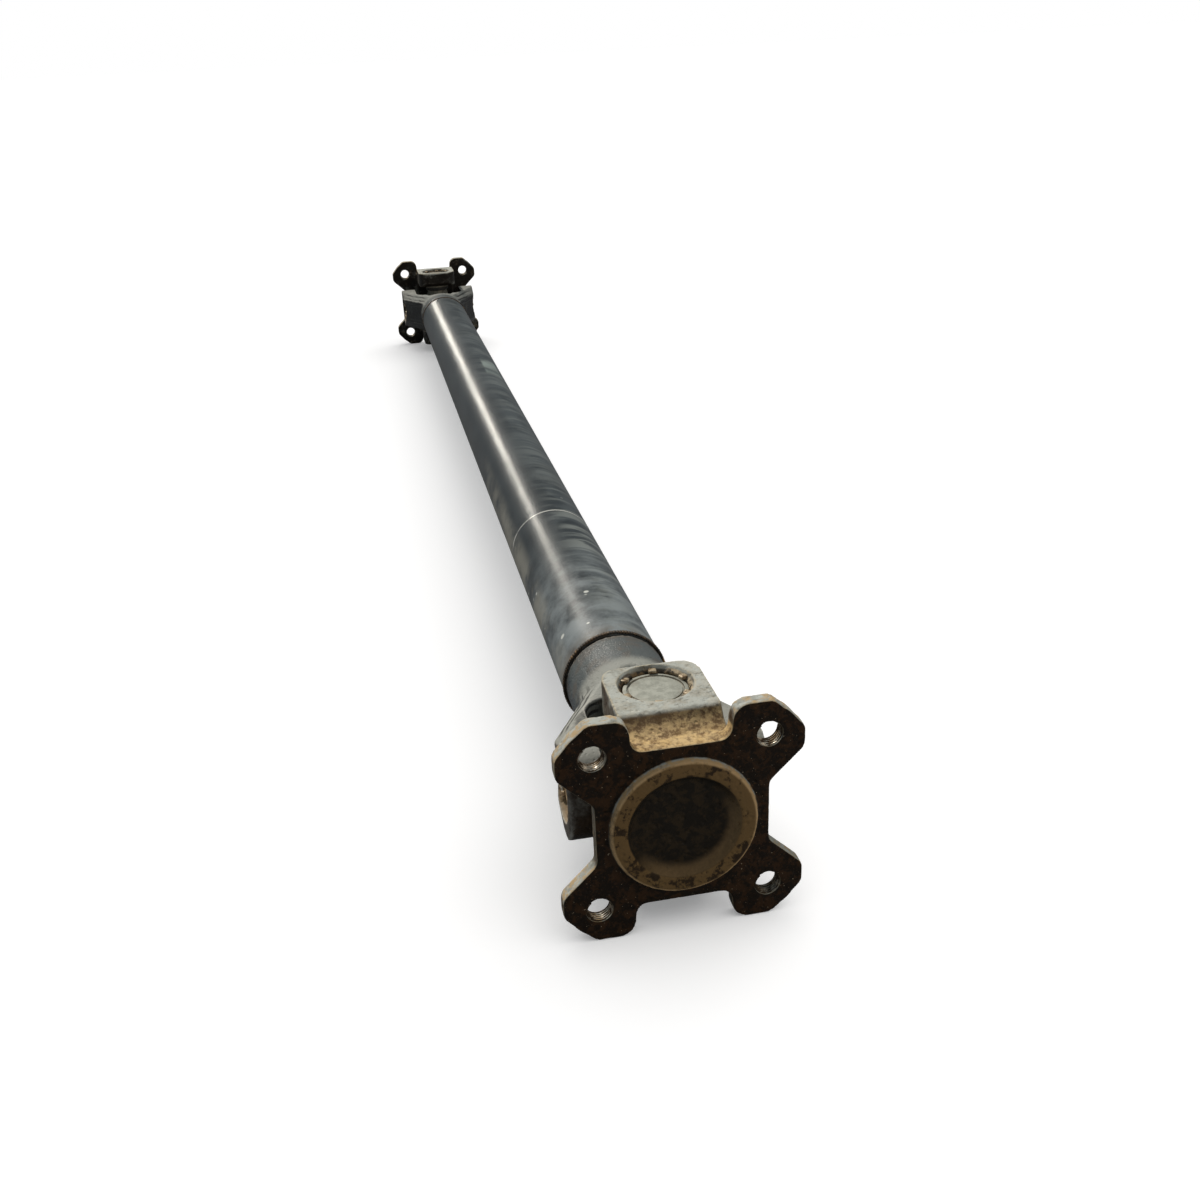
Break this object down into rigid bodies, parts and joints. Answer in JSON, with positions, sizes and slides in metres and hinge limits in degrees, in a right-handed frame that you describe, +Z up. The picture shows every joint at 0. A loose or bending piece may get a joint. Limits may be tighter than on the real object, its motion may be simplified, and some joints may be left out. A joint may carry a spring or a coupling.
{
  "type": "universal joint shaft",
  "caption": "Straight tubular drive shaft with a universal joint and a bolted, eared flange at each end, for passing torque between two axes that don't quite line up.",
  "frame": {"origin": "On the shaft's axis, half way between the two flange faces, which is the centre of the box round the part.", "axes": "+Y runs along the shaft from the near flange to the far one. +Z is up as the shaft lies on its flange ears, through the flange yokes' bearing cups. +X runs through the tube yokes' bearing cups."},
  "size_m": [0.0996, 1.1784, 0.0996],
  "materials": {
    "tube_paint": "worn semi-gloss dark blue-grey paint with dust",
    "forged_steel": "forged steel under a film of pale dust, with rust in the hollows",
    "rusted_forging": "forged steel with dark brown pitted rust and tan dust",
    "bearing_steel": "hardened bearing steel, dulled and dusty where it shows",
    "weld_metal": "rusted weld bead",
    "seal_rubber": "matt black nitrile rubber",
    "washer_plastic": "natural polyamide"
  },
  "bodies": {
    "tube_and_tube_yokes": {"drive_tube": "tube_paint", "near_tube_yoke": "forged_steel", "near_weld_bead": "weld_metal", "near_balance_weight": "forged_steel", "near_left_cup": "bearing_steel", "near_left_needles": "bearing_steel", "near_left_thrust_washer": "washer_plastic", "near_left_seal": "seal_rubber", "near_right_cup": "bearing_steel", "near_right_needles": "bearing_steel", "near_right_thrust_washer": "washer_plastic", "near_right_seal": "seal_rubber", "far_tube_yoke": "forged_steel", "far_weld_bead": "weld_metal", "far_balance_weight": "forged_steel", "far_left_cup": "bearing_steel", "far_left_needles": "bearing_steel", "far_left_thrust_washer": "washer_plastic", "far_left_seal": "seal_rubber", "far_right_cup": "bearing_steel", "far_right_needles": "bearing_steel", "far_right_thrust_washer": "washer_plastic", "far_right_seal": "seal_rubber"},
    "near_cross_body": {"near_cross": "bearing_steel"},
    "near_flange_body": {"near_flange_yoke": "rusted_forging", "near_top_cup": "bearing_steel", "near_top_needles": "bearing_steel", "near_top_thrust_washer": "washer_plastic", "near_top_seal": "seal_rubber", "near_bottom_cup": "bearing_steel", "near_bottom_needles": "bearing_steel", "near_bottom_thrust_washer": "washer_plastic", "near_bottom_seal": "seal_rubber"},
    "far_cross_body": {"far_cross": "bearing_steel"},
    "far_flange_body": {"far_flange_yoke": "rusted_forging", "far_top_cup": "bearing_steel", "far_top_needles": "bearing_steel", "far_top_thrust_washer": "washer_plastic", "far_top_seal": "seal_rubber", "far_bottom_cup": "bearing_steel", "far_bottom_needles": "bearing_steel", "far_bottom_thrust_washer": "washer_plastic", "far_bottom_seal": "seal_rubber"}
  },
  "joints": [
    {"name": "near_cross_in_tube_yoke", "type": "hinge", "parent": "tube_and_tube_yokes", "child": "near_cross_body", "pos_m": [0, -0.5445, 0], "axis": [1, 0, 0], "range_deg": [-18, 18]},
    {"name": "near_flange_yoke_on_cross", "type": "hinge", "parent": "near_cross_body", "child": "near_flange_body", "pos_m": [0, -0.5445, 0], "axis": [0, 0, 1], "range_deg": [-18, 18]},
    {"name": "far_cross_in_tube_yoke", "type": "hinge", "parent": "tube_and_tube_yokes", "child": "far_cross_body", "pos_m": [0, 0.5445, 0], "axis": [1, 0, 0], "range_deg": [-18, 18]},
    {"name": "far_flange_yoke_on_cross", "type": "hinge", "parent": "far_cross_body", "child": "far_flange_body", "pos_m": [0, 0.5445, 0], "axis": [0, 0, 1], "range_deg": [-18, 18]}
  ]
}
